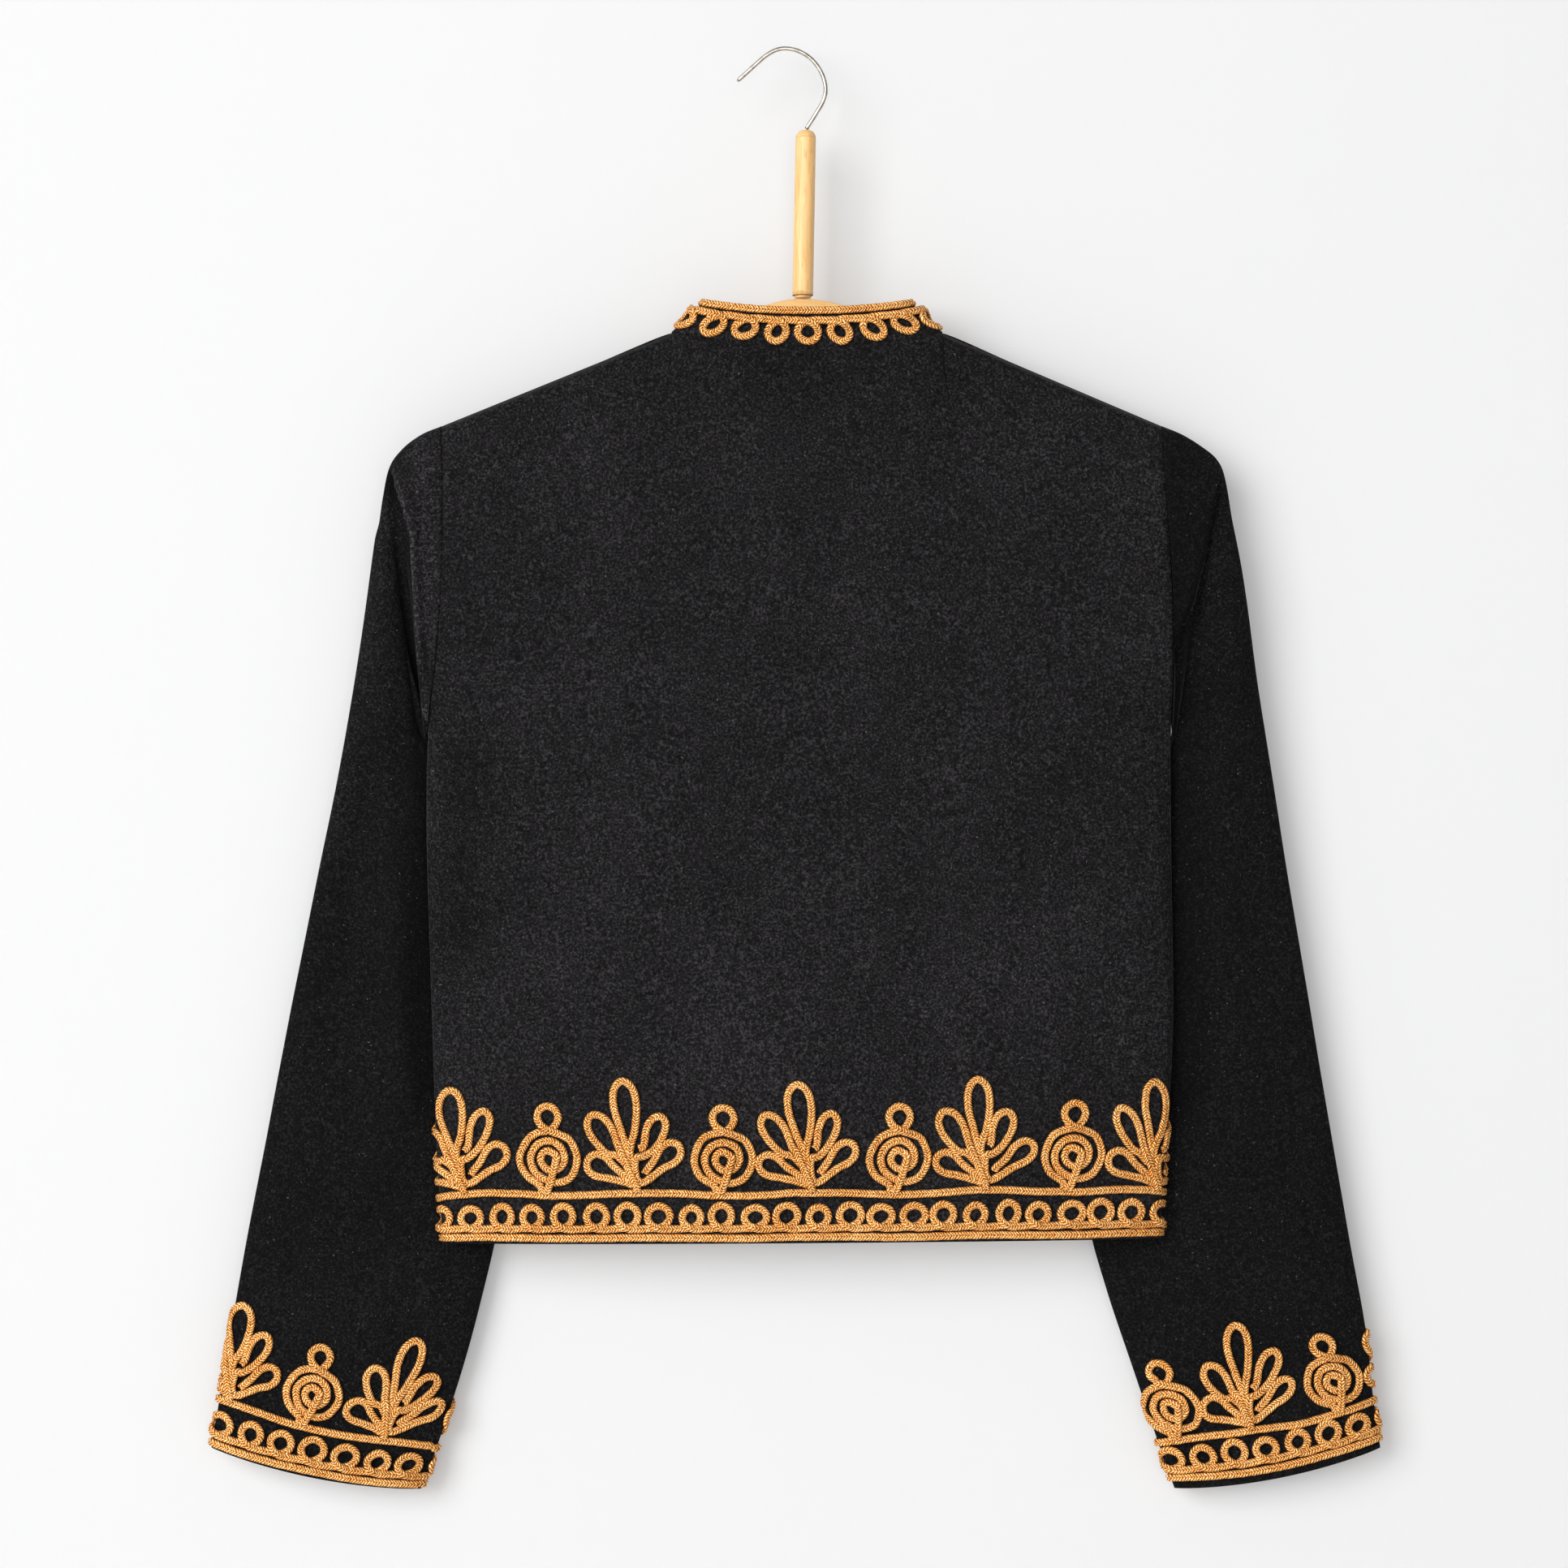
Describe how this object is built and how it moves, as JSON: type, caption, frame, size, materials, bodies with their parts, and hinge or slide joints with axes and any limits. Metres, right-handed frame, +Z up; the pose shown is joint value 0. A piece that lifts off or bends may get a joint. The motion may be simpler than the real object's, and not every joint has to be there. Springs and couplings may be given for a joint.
{
  "type": "bolero jacket on a hanger",
  "caption": "Short black velvet bolero jacket with a stand collar, long sleeves and couched bronze-gold cord round collar, hem and cuffs, hung flat on a wooden hanger.",
  "frame": {"origin": "Under the crown of the hanger's hook, where a rail bears.", "axes": "+Z up, the jacket's back faces -Y and its open fronts face +Y, its left sleeve as seen in the picture lies towards -X."},
  "size_m": [0.6995, 0.0512, 0.8556],
  "materials": {
    "black_velvet": "black cotton velvet with a soft short pile",
    "bronze_cord": "flat metallic bronze-gold braid with two ridges",
    "beech_wood": "pale beech, satin lacquer",
    "steel_wire": "bright zinc-plated wire"
  },
  "bodies": {
    "root": {"back": "black_velvet", "collar": "black_velvet", "collar_edge_cord": "bronze_cord", "collar_loop_cord": "bronze_cord", "cuff_left_edge_cord": "bronze_cord", "cuff_left_guide_cord": "bronze_cord", "cuff_left_loop_cord": "bronze_cord", "cuff_left_palmette_1": "bronze_cord", "cuff_left_palmette_2": "bronze_cord", "cuff_left_palmette_3": "bronze_cord", "cuff_left_spiral_1": "bronze_cord", "cuff_left_spiral_2": "bronze_cord", "cuff_left_spiral_3": "bronze_cord", "cuff_right_edge_cord": "bronze_cord", "cuff_right_guide_cord": "bronze_cord", "cuff_right_loop_cord": "bronze_cord", "cuff_right_palmette_1": "bronze_cord", "cuff_right_palmette_2": "bronze_cord", "cuff_right_palmette_3": "bronze_cord", "cuff_right_spiral_1": "bronze_cord", "cuff_right_spiral_2": "bronze_cord", "cuff_right_spiral_3": "bronze_cord", "front_left": "black_velvet", "front_right": "black_velvet", "hanger_bar": "beech_wood", "hanger_hook": "steel_wire", "hanger_neck": "beech_wood", "hem_edge_cord": "bronze_cord", "hem_guide_cord": "bronze_cord", "hem_loop_cord": "bronze_cord", "hem_palmette_1": "bronze_cord", "hem_palmette_2": "bronze_cord", "hem_palmette_3": "bronze_cord", "hem_palmette_4": "bronze_cord", "hem_palmette_5": "bronze_cord", "hem_palmette_6": "bronze_cord", "hem_palmette_7": "bronze_cord", "hem_palmette_8": "bronze_cord", "hem_palmette_9": "bronze_cord", "hem_spiral_1": "bronze_cord", "hem_spiral_2": "bronze_cord", "hem_spiral_3": "bronze_cord", "hem_spiral_4": "bronze_cord", "hem_spiral_5": "bronze_cord", "hem_spiral_6": "bronze_cord", "hem_spiral_7": "bronze_cord", "hem_spiral_8": "bronze_cord", "sleeve_left": "black_velvet", "sleeve_right": "black_velvet"}
  },
  "joints": []
}
